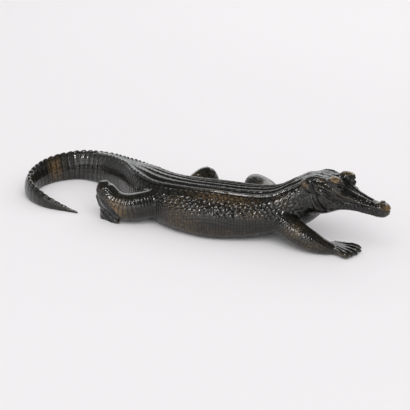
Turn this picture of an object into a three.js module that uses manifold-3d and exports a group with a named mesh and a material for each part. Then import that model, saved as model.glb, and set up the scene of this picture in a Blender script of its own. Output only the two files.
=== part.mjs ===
// Bronze crocodile, cast in one piece: it lies on its belly in mid stride, with the head raised and the tail
// curled round. Millimetres, +Z up, +X along the trunk towards the head, +Y to the animal's left. The origin is
// on the flat underside of the belly, and everything that touches the ground is cut flat at z = 0.
import * as THREE from "three";
import Module from "manifold-3d";
import { mergeVertices } from "three/addons/utils/BufferGeometryUtils.js";

const wasm = await Module();
wasm.setup();

// Driving dimensions
const BACK_TOP = 40; // of the back over the ground
const BELLY_HALF = 35; // half the trunk's greatest width
const SKULL_TOP = 60.5; // of the skull over the ground
const HEAD_BACK = [86, 0]; // where the skull meets the neck, in plan
const HEAD_TURN = THREE.MathUtils.degToRad(-15); // of the head to the animal's right
const RIDGE_HEIGHT = 1.3; // of the long ridges on the back
const CREST_PITCH = 6.6; // from one crest tooth to the next
const CREST_HEIGHT = 2.2; // of the tail's crest teeth
const TOE_RADIUS = 2.3;

const BRONZE = { color: 0x3b332a, roughness: 0.35, metalness: 0.9 };

// Rings of the trunk and tail
const RING_PITCH = 7;
const SHIELD_STEPS = 12; // ring points over the back, where each odd one is a ridge
const FLANK_STEPS = 15; // ring points round the rest
const SUNK = -0.6; // how far the undersides reach below the ground before they are cut flat
const WAIST = 0.42; // how far up a section it is widest
const CREST = { start: 176, join: 272, end: 412 }; // distances along the trunk from inside the skull
const CREST_SUNK = 1.2; // how deep the teeth reach into the tail

// From inside the skull to the tip of the tail: the place in plan, half the width, the top and the underside
// over the ground, how square the section is above and below, and half the width of the ridged shield on top.
const TRUNK = [
  { at: [102, -4], half: 12, top: SKULL_TOP - 6, under: 30, above: 2.2, below: 2.2, shield: 10 }, // skull
  { at: [88, -1], half: 17.5, top: SKULL_TOP - 2, under: 16, above: 2.3, below: 2.3, shield: 13 }, // nape
  { at: [74, -1], half: 21, top: 51.5, under: 10, above: 2.2, below: 2.4, shield: 14 }, // neck
  { at: [57, -2], half: 27, top: 42, under: 5, above: 2.1, below: 2.8, shield: 16 }, // shoulders
  { at: [36, -4], half: 31, top: BACK_TOP - 0.5, under: 1.4, above: 2, below: 3.4, shield: 16.5 }, // chest
  { at: [8, -5.5], half: BELLY_HALF, top: BACK_TOP - 0.5, under: SUNK, above: 2, below: 4, shield: 16.5 }, // belly
  { at: [-20, -4.5], half: 31, top: BACK_TOP - 0.7, under: SUNK, above: 2, below: 3.4, shield: 16.5 }, // loin
  { at: [-44, 2], half: 23.5, top: BACK_TOP - 1, under: SUNK, above: 2.1, below: 2.8, shield: 16 }, // hips
  { at: [-70, 16], half: 17.5, top: 38.5, under: SUNK, above: 2.5, below: 3, shield: 12.5 }, // root of the tail
  { at: [-101, 43], half: 12.2, top: 33, under: SUNK, above: 2.5, below: 3, shield: 5.8 },
  { at: [-136, 65], half: 9.5, top: 29, under: SUNK, above: 2.5, below: 3, shield: 3.4 },
  { at: [-165, 67], half: 8, top: 26.5, under: SUNK, above: 2.4, below: 3, shield: 3 },
  { at: [-185.5, 44], half: 6, top: 24, under: SUNK, above: 2.3, below: 3, shield: 2.6 }, // bend
  { at: [-185.5, 8], half: 4.8, top: 19.5, under: SUNK, above: 2.3, below: 3, shield: 2.2 },
  { at: [-160, -15], half: 3.4, top: 13.2, under: SUNK, above: 2.2, below: 3, shield: 1.6 },
  { at: [-121, -21], half: 0.8, top: 2, under: SUNK, above: 2, below: 2, shield: 0.4 }, // tip
];

// The head in its own frame, with x from the back of the skull towards the snout.
const SKULL = [
  { at: [-10, 0], half: 11, top: SKULL_TOP - 7, under: 40, above: 2.4, below: 2.2 }, // in the neck
  { at: [6, 0], half: 17, top: SKULL_TOP, under: 43, above: 2.9, below: 2.2 }, // back of the jaw
  { at: [16, 0], half: 17, top: SKULL_TOP, under: 43.5, above: 2.9, below: 2.2 },
  { at: [25, 0], half: 15.5, top: SKULL_TOP - 1.5, under: 43, above: 2.5, below: 2.4 }, // eyes
  { at: [33, 0], half: 12.6, top: SKULL_TOP - 4.5, under: 41, above: 2.3, below: 2.6 },
  { at: [40, 0], half: 9.8, top: 52, under: 40, above: 2.3, below: 2.8 }, // root of the snout
  { at: [48, 0], half: 8.1, top: 49, under: 40.4, above: 2.4, below: 2.8 },
  { at: [57, 0], half: 6.9, top: 46.3, under: 40, above: 2.4, below: 2.8 },
  { at: [64, 0], half: 6.5, top: 45.4, under: 39.4, above: 2.4, below: 2.8 },
  { at: [68.5, 0], half: 6.8, top: 45.9, under: 39.4, above: 2.2, below: 2.6 }, // nostrils
  { at: [72.5, 0], half: 5.2, top: 44.2, under: 39.6, above: 2.1, below: 2.4 },
  { at: [75, 0], half: 2, top: 42, under: 40.4, above: 2, below: 2 },
];
const LOWER_JAW = [
  { at: [-14, 0], half: 9, top: 46, under: 26, above: 2.2, below: 2.4 }, // in the neck
  { at: [4, 0], half: 17, top: 53, under: 24, above: 2.4, below: 2.6 }, // cheek
  { at: [20, 0], half: 15.4, top: 48, under: 28, above: 2.6, below: 2.6 },
  { at: [33, 0], half: 10.6, top: 42.5, under: 33.6, above: 2.8, below: 2.6 },
  { at: [45, 0], half: 7.4, top: 41.6, under: 35, above: 2.8, below: 2.6 },
  { at: [60, 0], half: 5.8, top: 41, under: 34.2, above: 2.8, below: 2.6 },
  { at: [68, 0], half: 5.9, top: 41, under: 34, above: 2.6, below: 2.4 },
  { at: [72, 0], half: 4.5, top: 41, under: 34.8, above: 2.4, below: 2.2 },
  { at: [74.5, 0], half: 1.6, top: 40.8, under: 37.4, above: 2, below: 2 },
];
const BROW = { ahead: 26.5, aside: 9.6, up: SKULL_TOP - 4, radii: [9, 5.4, 6] };

// Legs from inside the trunk to the wrist or heel: the centre, and the radius there.
const LEGS = {
  foreRight: [
    { at: [50, -6, 22], radius: 9 },
    { at: [71, -20.5, 17.5], radius: 10.6 },
    { at: [87, -28, 12.6], radius: 9.6 }, // elbow
    { at: [98, -30.5, 9.6], radius: 8.4 },
    { at: [108, -30.5, 6.6], radius: 6.2 },
    { at: [115, -28, 4.4], radius: 4.6 }, // wrist
  ],
  foreLeft: [
    { at: [50, 10, 24], radius: 9 },
    { at: [38, 32, 25.5], radius: 8.4 },
    { at: [19, 48, 24.2], radius: 8.4 }, // elbow
    { at: [18, 56, 14], radius: 6.8 },
    { at: [27, 62, 6], radius: 4.8 }, // wrist
  ],
  hindLeft: [
    { at: [-40, 8, 16], radius: 9 },
    { at: [-40, 34, 18], radius: 8.5 },
    { at: [-27, 50, 25.6], radius: 8 }, // knee
    { at: [-23, 57, 14], radius: 7 },
    { at: [-14, 61, 6.5], radius: 5.5 }, // ankle
  ],
  hindRight: [
    { at: [-34, -2, 20], radius: 9 },
    { at: [-46, -11, 18.5], radius: 12 },
    { at: [-58, -19, 16], radius: 12.2 },
    { at: [-70, -23, 14], radius: 12 }, // knee
    { at: [-82, -23, 16], radius: 11 },
    { at: [-90.5, -20.5, 22], radius: 9.8 },
    { at: [-95.5, -18.5, 28], radius: 7.8 }, // heel
    { at: [-96.5, -18, 33], radius: 3.5 },
  ],
};

// Feet: where the ankle is, the way the palm and then the toes point, the way across them to the left, the length
// and half the width of the palm, and the toes from right to left, each by its spread in degrees and its length.
const FORE_TOES = [
  { spread: -26, length: 11 },
  { spread: -13, length: 15 },
  { spread: 0, length: 17 },
  { spread: 12, length: 16 },
  { spread: 24, length: 14 },
];
const HIND_TOES = [
  { spread: -16, length: 14 },
  { spread: -5, length: 17 },
  { spread: 5, length: 17 },
  { spread: 16, length: 14 },
];
const FEET = {
  foreRight: {
    ankle: [113, -28, 5],
    palmWay: [0.94, 0.34, -0.1],
    toeWay: [0.94, 0.34, -0.1],
    left: [-0.34, 0.94, 0.05],
    palm: 9,
    half: 8.6,
    toes: FORE_TOES,
  },
  foreLeft: {
    ankle: [27, 61, 5],
    palmWay: [0.8, 0.6, -0.1],
    toeWay: [0.8, 0.6, -0.1],
    left: [-0.6, 0.8, 0],
    palm: 9,
    half: 8,
    toes: FORE_TOES,
  },
  hindLeft: {
    ankle: [-16, 60, 5],
    palmWay: [0.9, 0.43, -0.1],
    toeWay: [0.9, 0.43, -0.1],
    left: [-0.43, 0.9, 0],
    palm: 15,
    half: 8,
    toes: HIND_TOES,
  },
  hindRight: {
    ankle: [-96, -20.5, 26],
    palmWay: [0.4, -0.28, -0.88],
    toeWay: [0.72, -0.1, -0.55],
    left: [0.73, 0.68, 0],
    palm: 17,
    half: 10.5,
    toes: HIND_TOES,
  },
};
const FOOT_THICKNESS = 4.6; // from the middle of the foot to its top
const ANKLE_SHARE = 0.6; // of the palm's width that the foot has at the ankle
const PALM_SIDES = 8;
const PALM_RINGS = 3;

const vector = (list) => new THREE.Vector3(list[0], list[1], list[2] ?? 0);

// A cylinder of sides and rings, with each of its points moved to place(side, ring). A point at the middle of
// an end face gets the middle of its ring.
function wrapped(sides, rings, place) {
  const geometry = new THREE.CylinderGeometry(1, 1, 1, sides, rings);
  const position = geometry.attributes.position;
  for (let i = 0; i < position.count; i++) {
    const point = new THREE.Vector3().fromBufferAttribute(position, i);
    const ring = Math.round((0.5 - point.y) * rings);
    const turn = Math.atan2(point.x, point.z) / (2 * Math.PI);
    const side = (Math.round(turn * sides) + sides) % sides;
    const moved = new THREE.Vector3();
    if (Math.hypot(point.x, point.z) > 0.5) moved.copy(place(side, ring));
    else for (let k = 0; k < sides; k++) moved.addScaledVector(place(k, ring), 1 / sides);
    position.setXYZ(i, moved.x, moved.y, moved.z);
  }
  return geometry;
}

// A closed geometry as a solid for joining and cutting, turned right side out.
function solidOf(geometry) {
  const bare = geometry.clone();
  bare.deleteAttribute("normal");
  bare.deleteAttribute("uv");
  const merged = mergeVertices(bare, 1e-4);
  const corners = [];
  for (let i = 0; i < merged.index.count; i += 3) {
    const [a, b, c] = [0, 1, 2].map((k) => merged.index.getX(i + k));
    if (a !== b && b !== c && c !== a) corners.push(a, b, c);
  }
  const build = (triVerts) =>
    new wasm.Manifold(
      new wasm.Mesh({ numProp: 3, vertProperties: merged.attributes.position.array, triVerts }),
    );
  const made = build(new Uint32Array(corners));
  return made.volume() > 0 ? made : build(new Uint32Array(corners.reverse()));
}

// Reads one size of a row of stations as a smooth curve, at a share from 0 to 1 of the row.
function reader(stations, key) {
  const line = new THREE.SplineCurve(stations.map((s, i) => new THREE.Vector2(i, s[key])));
  return (share) => line.getPoint(share).y;
}

function pathThrough(stations) {
  const path = new THREE.CatmullRomCurve3(
    stations.map((s) => vector(s.at)),
    false,
    "centripetal",
  );
  path.arcLengthDivisions = 400;
  return path;
}

// The sections along a row of stations: each at a distance along the path, with the ground point below it, the
// vector to its left and the sizes there.
function sectionsAlong(stations, keys) {
  const path = pathThrough(stations);
  const length = path.getLength();
  const sizes = Object.fromEntries(keys.map((key) => [key, reader(stations, key)]));
  return {
    length,
    at(distance) {
      const share = path.getUtoTmapping(distance / length);
      const tangent = path.getTangent(share);
      const left = new THREE.Vector3(-tangent.y, tangent.x, 0).normalize();
      const section = { centre: path.getPoint(share), left, tangent };
      for (const key of keys) section[key] = sizes[key](share);
      return section;
    },
  };
}

const SIZES = ["half", "top", "under", "above", "below"];
const trunk = sectionsAlong(TRUNK, [...SIZES, "shield"]);

// The point of a section at a turn from its left side up over its top, moved out by a lift.
function onSection(section, turn, lift = 0) {
  const [cosine, sine] = [Math.cos(turn), Math.sin(turn)];
  const power = 2 / (sine > 0 ? section.above : section.below);
  const height = section.top - section.under;
  const tall = sine > 0 ? height * (1 - WAIST) : height * WAIST;
  const out = section.half * Math.sign(cosine) * Math.abs(cosine) ** power;
  const up = section.under + height * WAIST + tall * Math.sign(sine) * Math.abs(sine) ** power;
  return section.centre
    .clone()
    .addScaledVector(section.left, out + cosine * lift)
    .setZ(up + sine * lift);
}

// Half the turn that the shield takes up.
function shieldTurn(section) {
  return Math.asin(Math.min(section.shield / section.half, 1) ** (section.above / 2));
}

// The turn of each ring point of the trunk: over the shield from left to right, then round the rest.
function ringTurn(side, section) {
  const half = shieldTurn(section);
  if (side <= SHIELD_STEPS) return Math.PI / 2 - half + (2 * half * side) / SHIELD_STEPS;
  return Math.PI / 2 + half + ((2 * Math.PI - 2 * half) * (side - SHIELD_STEPS)) / FLANK_STEPS;
}

// Six ridges run from the neck to the tail. The outermost two go on as the tail's double crest.
function ridgeLift(side, distance) {
  if (side > SHIELD_STEPS || side % 2 === 0) return 0;
  const outermost = side === 1 || side === SHIELD_STEPS - 1;
  const end = outermost ? CREST.join : CREST.start;
  const fade = Math.min((end - distance) / 30, distance / 20);
  return RIDGE_HEIGHT * THREE.MathUtils.clamp(fade, 0, 1);
}

function trunkSolid() {
  const rings = Math.round(trunk.length / RING_PITCH);
  return solidOf(
    wrapped(SHIELD_STEPS + FLANK_STEPS, rings, (side, ring) => {
      const distance = (ring / rings) * trunk.length;
      const section = trunk.at(distance);
      return onSection(section, ringTurn(side, section), ridgeLift(side, distance));
    }),
  );
}

// One row of crest teeth: pointed wedges on the line at a turn of the section, from start to end of the trunk.
function crestSolids(start, end, turnOf, heightOf) {
  const teeth = [];
  for (let distance = start; distance < end; distance += CREST_PITCH) {
    const section = trunk.at(distance);
    const turn = turnOf(section);
    const height = heightOf(distance);
    const tooth = new THREE.ConeGeometry(CREST_PITCH * 0.7, height + CREST_SUNK, 4, 1, false, Math.PI / 4);
    tooth.scale(1, 1, 0.42).rotateX(Math.PI / 2).translate(0, 0, (height - CREST_SUNK) / 2);
    const upward = new THREE.Vector3().addScaledVector(section.left, Math.cos(turn)).setZ(Math.sin(turn));
    const along = section.tangent.clone();
    const across = new THREE.Vector3().crossVectors(upward, along);
    const root = onSection(section, turn);
    tooth.applyMatrix4(new THREE.Matrix4().makeBasis(along, across, upward).setPosition(root));
    teeth.push(solidOf(tooth));
  }
  return teeth;
}

// The crest is double on the root of the tail, and single from where its rows meet.
function tailCrest() {
  const rowTurn = (sign) => (section) => Math.PI / 2 - sign * shieldTurn(section) * (1 - 2 / SHIELD_STEPS);
  const rise = (distance) => CREST_HEIGHT * THREE.MathUtils.clamp((distance - CREST.start) / 40, 0.4, 1);
  const fall = (distance) => CREST_HEIGHT * THREE.MathUtils.clamp((CREST.end - distance) / 120, 0.3, 1);
  return [
    ...crestSolids(CREST.start, CREST.join, rowTurn(1), rise),
    ...crestSolids(CREST.start, CREST.join, rowTurn(-1), rise),
    ...crestSolids(CREST.join, CREST.end, () => Math.PI / 2, fall),
  ];
}

// One jaw, in the head's own frame.
function jawSolid(stations, sides, rings) {
  const jaw = sectionsAlong(stations, SIZES);
  return solidOf(
    wrapped(sides, rings, (side, ring) =>
      onSection(jaw.at((ring / rings) * jaw.length), (2 * Math.PI * side) / sides),
    ),
  );
}

// A round limb or toe along its stations.
function limbSolid(stations, sides, rings) {
  const path = pathThrough(stations);
  const radius = reader(stations, "radius");
  const frames = path.computeFrenetFrames(rings);
  return solidOf(
    wrapped(sides, rings, (side, ring) => {
      const share = path.getUtoTmapping(ring / rings);
      const turn = (2 * Math.PI * side) / sides;
      return path
        .getPoint(share)
        .addScaledVector(frames.normals[ring], Math.cos(turn) * radius(share))
        .addScaledVector(frames.binormals[ring], Math.sin(turn) * radius(share));
    }),
  );
}

function ballSolid(centre, radii) {
  return solidOf(new THREE.SphereGeometry(1, 10, 7).scale(...radii).translate(...centre));
}

function headSolids() {
  const brows = [-1, 1].map((side) => ballSolid([BROW.ahead, side * BROW.aside, BROW.up], BROW.radii));
  const place = new THREE.Matrix4()
    .makeTranslation(HEAD_BACK[0], HEAD_BACK[1], 0)
    .multiply(new THREE.Matrix4().makeRotationZ(HEAD_TURN));
  return [jawSolid(SKULL, 18, 15), jawSolid(LOWER_JAW, 14, 12), ...brows].map((solid) =>
    solid.transform(place.elements),
  );
}

// A toe bends down from its knuckle to the point of its claw.
function toeSolid(knuckle, way, up, length) {
  const rear = knuckle.clone().addScaledVector(way, -length / 4);
  const joint = knuckle.clone().addScaledVector(way, length * 0.55).addScaledVector(up, 0.5);
  const claw = knuckle.clone().addScaledVector(way, length).addScaledVector(up, -0.8);
  const stations = [
    { at: rear.toArray(), radius: TOE_RADIUS },
    { at: knuckle.toArray(), radius: TOE_RADIUS * 1.15 },
    { at: joint.toArray(), radius: TOE_RADIUS },
    { at: claw.toArray(), radius: 0.5 },
  ];
  return limbSolid(stations, 6, 4);
}

function footSolids({ ankle, palmWay, toeWay, left, palm, half, toes }) {
  const start = vector(ankle);
  const aside = vector(left).normalize();
  const down = vector(palmWay).normalize();
  const forward = vector(toeWay).normalize();
  const palmUp = new THREE.Vector3().crossVectors(down, aside).normalize();
  const toeUp = new THREE.Vector3().crossVectors(forward, aside).normalize();
  const sole = solidOf(
    wrapped(PALM_SIDES, PALM_RINGS, (side, ring) => {
      const turn = (2 * Math.PI * side) / PALM_SIDES;
      const share = ring / PALM_RINGS;
      const width = half * (ANKLE_SHARE + (1 - ANKLE_SHARE) * share);
      return start
        .clone()
        .addScaledVector(down, palm * (share * 1.2 - 0.1))
        .addScaledVector(aside, Math.cos(turn) * width)
        .addScaledVector(palmUp, Math.sin(turn) * FOOT_THICKNESS * (1 - 0.45 * share));
    }),
  );
  const digits = toes.map(({ spread, length }, i) => {
    const angle = THREE.MathUtils.degToRad(spread);
    const way = forward.clone().multiplyScalar(Math.cos(angle)).addScaledVector(aside, Math.sin(angle));
    const shift = (half - TOE_RADIUS) * ((2 * i) / (toes.length - 1) - 1);
    const knuckle = start.clone().addScaledVector(down, palm).addScaledVector(aside, shift);
    return toeSolid(knuckle, way, toeUp, length);
  });
  return [sole, ...digits];
}

function crocodile() {
  const legs = Object.values(LEGS).map((stations) => limbSolid(stations, 9, 9));
  const feet = Object.values(FEET).flatMap(footSolids);
  const whole = wasm.Manifold.union([trunkSolid(), ...tailCrest(), ...headSolids(), ...legs, ...feet]);
  const ground = solidOf(new THREE.BoxGeometry(600, 400, 60).translate(0, 0, -30));
  const { vertProperties, triVerts } = whole.subtract(ground).getMesh();
  const geometry = new THREE.BufferGeometry();
  geometry.setAttribute("position", new THREE.BufferAttribute(vertProperties, 3));
  geometry.setIndex(new THREE.BufferAttribute(triVerts, 1));
  geometry.computeVertexNormals();
  const mesh = new THREE.Mesh(geometry, new THREE.MeshStandardMaterial(BRONZE));
  mesh.name = "crocodile";
  return mesh;
}

const statue = new THREE.Group();
statue.add(crocodile());

export default statue;
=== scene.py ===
# Bronze crocodile, cast in one piece, on a pale studio floor. The skin is modelled from the statue's own
# station rows, in millimetres, joined into one closed surface, and then chased: scales, ridges and creases
# are cut into it.
import math
from collections import namedtuple
from functools import partial

import bmesh
import bpy
import numpy as np
from mathutils import Matrix, Vector


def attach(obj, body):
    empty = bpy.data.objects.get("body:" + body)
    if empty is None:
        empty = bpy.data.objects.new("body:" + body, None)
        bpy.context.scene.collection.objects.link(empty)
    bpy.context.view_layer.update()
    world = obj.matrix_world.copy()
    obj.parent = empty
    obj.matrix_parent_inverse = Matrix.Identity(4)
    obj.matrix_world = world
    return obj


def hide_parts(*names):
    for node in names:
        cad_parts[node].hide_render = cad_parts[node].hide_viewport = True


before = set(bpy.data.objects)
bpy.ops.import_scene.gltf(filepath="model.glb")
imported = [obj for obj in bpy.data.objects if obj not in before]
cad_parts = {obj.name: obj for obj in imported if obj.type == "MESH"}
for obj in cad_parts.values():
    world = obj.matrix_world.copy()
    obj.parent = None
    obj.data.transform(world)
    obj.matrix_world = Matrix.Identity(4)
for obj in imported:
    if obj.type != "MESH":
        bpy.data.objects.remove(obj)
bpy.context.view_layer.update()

MM = 0.001

# Driving dimensions, in millimetres
BACK_TOP = 40.0  # of the back over the ground
BELLY_HALF = 35.0  # half the trunk's greatest width
SKULL_TOP = 60.5  # of the skull over the ground
HEAD_BACK = (86.0, 0.0)  # where the skull meets the neck, in plan
HEAD_TURN = math.radians(-15)  # of the head to the animal's right
WAIST = 0.42  # how far up a section it is widest
SUNK = -0.6  # how far the undersides reach below the ground before they are made flat
CORE_GRAIN = 0.8  # size of the faces while the forms are blended
SKIN_GRAIN = 0.48  # size of the joined skin's faces before the relief is cut
SKIN_TRIANGLES = 196000

# The crest of scutes, by distances along the trunk from inside the skull
CREST_START = 176.0
CREST_JOIN = 272.0  # where its two rows become one
CREST_END = 418.0
CREST_PITCH = 6.6
CREST_ASIDE = 0.833  # of the shield's half width, from its middle out to each of the two rows
SCUTE_ROOT = 0.9  # how deep a scute stands in the back

# From inside the skull to the tip of the tail:
# x, y, half width, top, underside, squareness above and below, half the width of the ridged shield
TRUNK = [
    (102, -4, 12, SKULL_TOP - 6, 30, 2.2, 2.2, 10),
    (88, -1, 17.5, SKULL_TOP - 2, 16, 2.3, 2.3, 13),
    (74, -1, 21, 51.5, 10, 2.2, 2.4, 14),
    (57, -2, 27, 42, 5, 2.1, 2.8, 16),
    (36, -4, 31, BACK_TOP - 0.5, 1.4, 2, 3.4, 16.5),
    (8, -5.5, BELLY_HALF, BACK_TOP - 0.5, SUNK, 2, 4, 16.5),
    (-20, -4.5, 31, BACK_TOP - 0.7, SUNK, 2, 3.4, 16.5),
    (-44, 2, 23.5, BACK_TOP - 1, SUNK, 2.1, 2.8, 16),
    (-70, 16, 17.5, 38.5, SUNK, 2.5, 3, 12.5),
    (-101, 43, 12.2, 33, SUNK, 2.5, 3, 5.8),
    (-136, 65, 9.5, 29, SUNK, 2.1, 3, 3.4),
    (-165, 67, 8, 26.5, SUNK, 1.75, 3, 3),
    (-185.5, 44, 6, 24, SUNK, 1.6, 3, 2.6),
    (-185.5, 8, 4.8, 19.5, SUNK, 1.6, 3, 2.2),
    (-160, -15, 3.4, 13.2, SUNK, 1.7, 3, 1.6),
    (-121, -21, 0.8, 2, SUNK, 2, 2, 0.4),
]
# The head in its own frame, with x from the back of the skull towards the snout: the same, with no shield
SKULL = [
    (-10, 0, 11, SKULL_TOP - 7, 40, 2.4, 2.2),
    (6, 0, 17, SKULL_TOP - 1.2, 43, 2.9, 2.2),
    (16, 0, 17, SKULL_TOP - 1.2, 43.5, 2.9, 2.2),
    (25, 0, 15.5, SKULL_TOP - 2, 43, 2.5, 2.4),
    (33, 0, 12.6, SKULL_TOP - 4.5, 41, 2.3, 2.6),
    (40, 0, 9.8, 52, 40, 2.3, 2.8),
    (48, 0, 8.1, 49, 40.4, 2.4, 2.8),
    (57, 0, 6.9, 46.3, 40, 2.4, 2.8),
    (64, 0, 6.5, 45.4, 39.4, 2.4, 2.8),
    (68.5, 0, 6.8, 45.9, 39.4, 2.2, 2.6),
    (72.5, 0, 5.2, 44.2, 39.6, 2.1, 2.4),
    (75, 0, 2, 42, 40.4, 2, 2),
]
LOWER_JAW = [
    (-14, 0, 9, 46, 26, 2.2, 2.4),
    (4, 0, 17, 53, 24, 2.4, 2.6),
    (20, 0, 15.4, 48, 28, 2.6, 2.6),
    (33, 0, 10.6, 42.5, 33.6, 2.8, 2.6),
    (45, 0, 7.4, 41.6, 35, 2.8, 2.6),
    (60, 0, 5.8, 41, 34.2, 2.8, 2.6),
    (68, 0, 5.9, 41, 34, 2.6, 2.4),
    (72, 0, 4.5, 41, 34.8, 2.4, 2.2),
    (74.5, 0, 1.6, 40.8, 37.4, 2, 2),
]
# Swellings on the left of the head, mirrored on its right: the middle and the radii
HEAD_BOSSES = [
    ("brow", (28.4, 9.0, 57.5), (7.6, 5.3, 4.7)),
    ("temple", (12, 10.2, 55.6), (10.4, 5.3, 4.6)),
    ("jaw muscle", (19, 10.6, 42), (9, 6.4, 8.5)),
    ("jaw tip", (68, 3.0, 37.6), (4.4, 3.2, 3.2)),
]
FACE_BOSSES = [
    ("eye", (32.2, 10.2, 53.6), (4.8, 3.4, 3.3)),
    ("nostril", (66.8, 2.5, 45.0), (2.8, 2.2, 1.8)),
]
TEETH = (35, 38, 41, 44, 47.5, 51, 55, 59, 63.5, 67)  # places along the snout
TOOTH_RADII = (1, 0.8, 1.7)
TOOTH_LEVEL = 40.6
TOOTH_ASIDE = 0.9  # of the snout's half width

# Legs from inside the trunk to the wrist or heel: x, y, z, radius
LEGS = {
    "foreleg right": [
        (50, -6, 22, 9),
        (71, -20.5, 17.5, 10.6),
        (87, -28, 12.6, 9.6),
        (98, -30.5, 9.6, 8.4),
        (108, -30.5, 6.6, 6.2),
        (115, -28, 4.4, 4.6),
    ],
    "foreleg left": [
        (50, 10, 24, 9),
        (38, 32, 25.5, 8.4),
        (19, 48, 24.2, 8.4),
        (18, 56, 14, 6.8),
        (27, 62, 6, 4.8),
    ],
    "hindleg left": [
        (-40, 8, 16, 9),
        (-40, 34, 16.6, 6.8),
        (-27, 51, 26.4, 6.8),
        (-22.5, 57, 14, 6.6),
        (-14, 61, 6.5, 5.5),
    ],
    "hindleg right": [
        (-34, -2, 20, 9),
        (-46, -11, 18.5, 12),
        (-58, -19, 16, 12.2),
        (-70, -23, 14, 12),
        (-82, -23, 16, 11),
        (-90.5, -20.5, 22, 9.8),
        (-95.5, -18.5, 28, 7.8),
        (-96.5, -18, 33, 3.5),
    ],
}
# Each toe's turn from the way its foot's toes point, in degrees towards the left, and its length
FORE_TOES = [(-22, 12), (-12, 15.5), (-1, 17), (9, 16.5), (18, 15)]
RESTING_TOES = [(-45, 8), (-28, 10.5), (-18, 13.5), (-4, 15.5), (4, 15)]
HIND_TOES = [(-16, 14), (-5, 17), (5, 17), (16, 14)]
# The ankle, the ways the palm and the toes point, the way across to the left, the palm's length and half
# its width, the toes and their radius
Foot = namedtuple("Foot", "ankle palm_way toe_way left palm half toes radius")
FEET = {
    "forefoot right": Foot(
        ankle=(112, -26, 5),
        palm_way=(0.97, 0.2, -0.1),
        toe_way=(0.97, 0.2, -0.1),
        left=(-0.2, 0.97, 0.05),
        palm=10,
        half=10.5,
        toes=RESTING_TOES,
        radius=2.5,
    ),
    "forefoot left": Foot(
        ankle=(27, 61, 5),
        palm_way=(0.8, 0.6, -0.1),
        toe_way=(0.8, 0.6, -0.1),
        left=(-0.6, 0.8, 0),
        palm=9,
        half=8,
        toes=FORE_TOES,
        radius=2.4,
    ),
    "hindfoot left": Foot(
        ankle=(-16, 60, 5),
        palm_way=(0.9, 0.43, -0.1),
        toe_way=(0.9, 0.43, -0.1),
        left=(-0.43, 0.9, 0),
        palm=15,
        half=8,
        toes=HIND_TOES,
        radius=2.5,
    ),
    "hindfoot right": Foot(
        ankle=(-98.5, -20.5, 20),
        palm_way=(0.36, -0.22, -0.88),
        toe_way=(0.85, -0.35, -0.3),
        left=(-0.6, 0.4, -0.7),
        palm=17,
        half=7.5,
        toes=HIND_TOES,
        radius=3.2,
    ),
}
FOOT_THICKNESS = 4.6  # from the middle of the foot to its top, at the ankle
PALM_THINNING = 0.45  # of that thickness, lost by the knuckles
ANKLE_SHARE = 0.6  # of the palm's width that the foot has at the ankle
WEB_SHARE = 0.84  # of the longest toe that the web reaches
WEB_THICKNESS = 0.72  # of the toes' radius, at the web's edge
SINEW_PLACES = (0.25, 0.6)  # along the palm
# Along a toe: the share of its length, how far it is lifted, and its thickness against the toes' radius
TOE_PROFILE = [(0, 0, 1.08), (0.28, 0.4, 0.94), (0.52, 0.5, 1.02), (0.78, 0, 0.86), (0.91, -0.3, 0.56)]
CLAW_DROP = 0.8
CLAW_TIP = 0.45

# The camera, in metres
CAMERA_PLACE = (0.3794, -0.9604, 0.3933)
CAMERA_AIM = (-0.0254, 0.0415, 0)
CAMERA_LENS = 112.2

# The studio's lamps: the name, the place, what it aims at, width and height in metres, and watts
STATUE_MIDDLE = (-0.02, 0, 0.02)
ROOM_LAMPS = [
    ("room light", (3.0, -5.3, 5.6), (0, 0.8, 0), (9, 7), 590),
    ("background light", (0, 1.1, 0.7), (0, 0.7, 0), (1.6, 0.5), 1.5),
]
MIRRORED_LAMPS = [
    ("back softbox", (-0.5, 1.5, 0.78), (0, 0, 0.02), (2.6, 0.9), 12),
    ("front softbox", (-0.44, -0.98, 0.95), STATUE_MIDDLE, (0.25, 0.19), 6.6),
    ("high softbox", (-0.34, -0.74, 1.26), STATUE_MIDDLE, (0.3, 0.22), 3),
    ("low softbox", (-0.4, -1.3, 0.4), STATUE_MIDDLE, (2.0, 0.6), 5.2),
]
ROOM_STRENGTH = 0.62
# What the bronze mirrors of the room: bright at the horizon, dark from part of the way up
MIRRORED_LOW = 0.62
MIRRORED_HIGH = 0.11
MIRRORED_DARK_FROM = 0.45

# The bronze's colours
COLD_PATINA = (0.0095, 0.0105, 0.008)
WARM_PATINA = (0.016, 0.013, 0.0085)
MOTTLING = (0.037, 0.034, 0.025)
# pale grey of the painted sheen on the inside of the tail's bow
PAINTED_SHEEN_GREY = (0.072, 0.072, 0.068)
# black of the patina in the grooves, and of the painted shade in creases and under parts
GROOVE_AND_SHADE_BLACK = (0.002, 0.002, 0.002)
RUBBED_BROWN = (0.125, 0.080, 0.038)
# bare gold-brown, also the colour of the painted highlight on the lids
BARE_BRONZE_AND_GLINT = (0.42, 0.24, 0.09)


# Camera, lights and floor
def add_camera():
    camera = bpy.data.objects.new("camera", bpy.data.cameras.new("camera"))
    bpy.context.scene.collection.objects.link(camera)
    bpy.context.scene.camera = camera
    camera.data.lens = CAMERA_LENS
    camera.data.sensor_width = 36
    camera.data.clip_end = 20
    camera.location = CAMERA_PLACE
    camera.rotation_euler = (Vector(CAMERA_AIM) - camera.location).to_track_quat("-Z", "Y").to_euler()


def add_softbox(name, place, aim, size, watts, glints):
    """A rectangular lamp that the bronze mirrors, or one that only brightens the paper and matt surfaces."""
    light = bpy.data.lights.new(name, "AREA")
    light.shape = "RECTANGLE"
    light.size, light.size_y = size
    light.energy = watts
    box = bpy.data.objects.new(name, light)
    box.visible_diffuse = not glints
    box.visible_glossy = glints
    bpy.context.scene.collection.objects.link(box)
    box.location = place
    box.rotation_euler = (Vector(aim) - Vector(place)).to_track_quat("-Z", "Y").to_euler()


def set_inputs(node, values):
    for name, value in values.items():
        node.inputs[name].default_value = value


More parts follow.
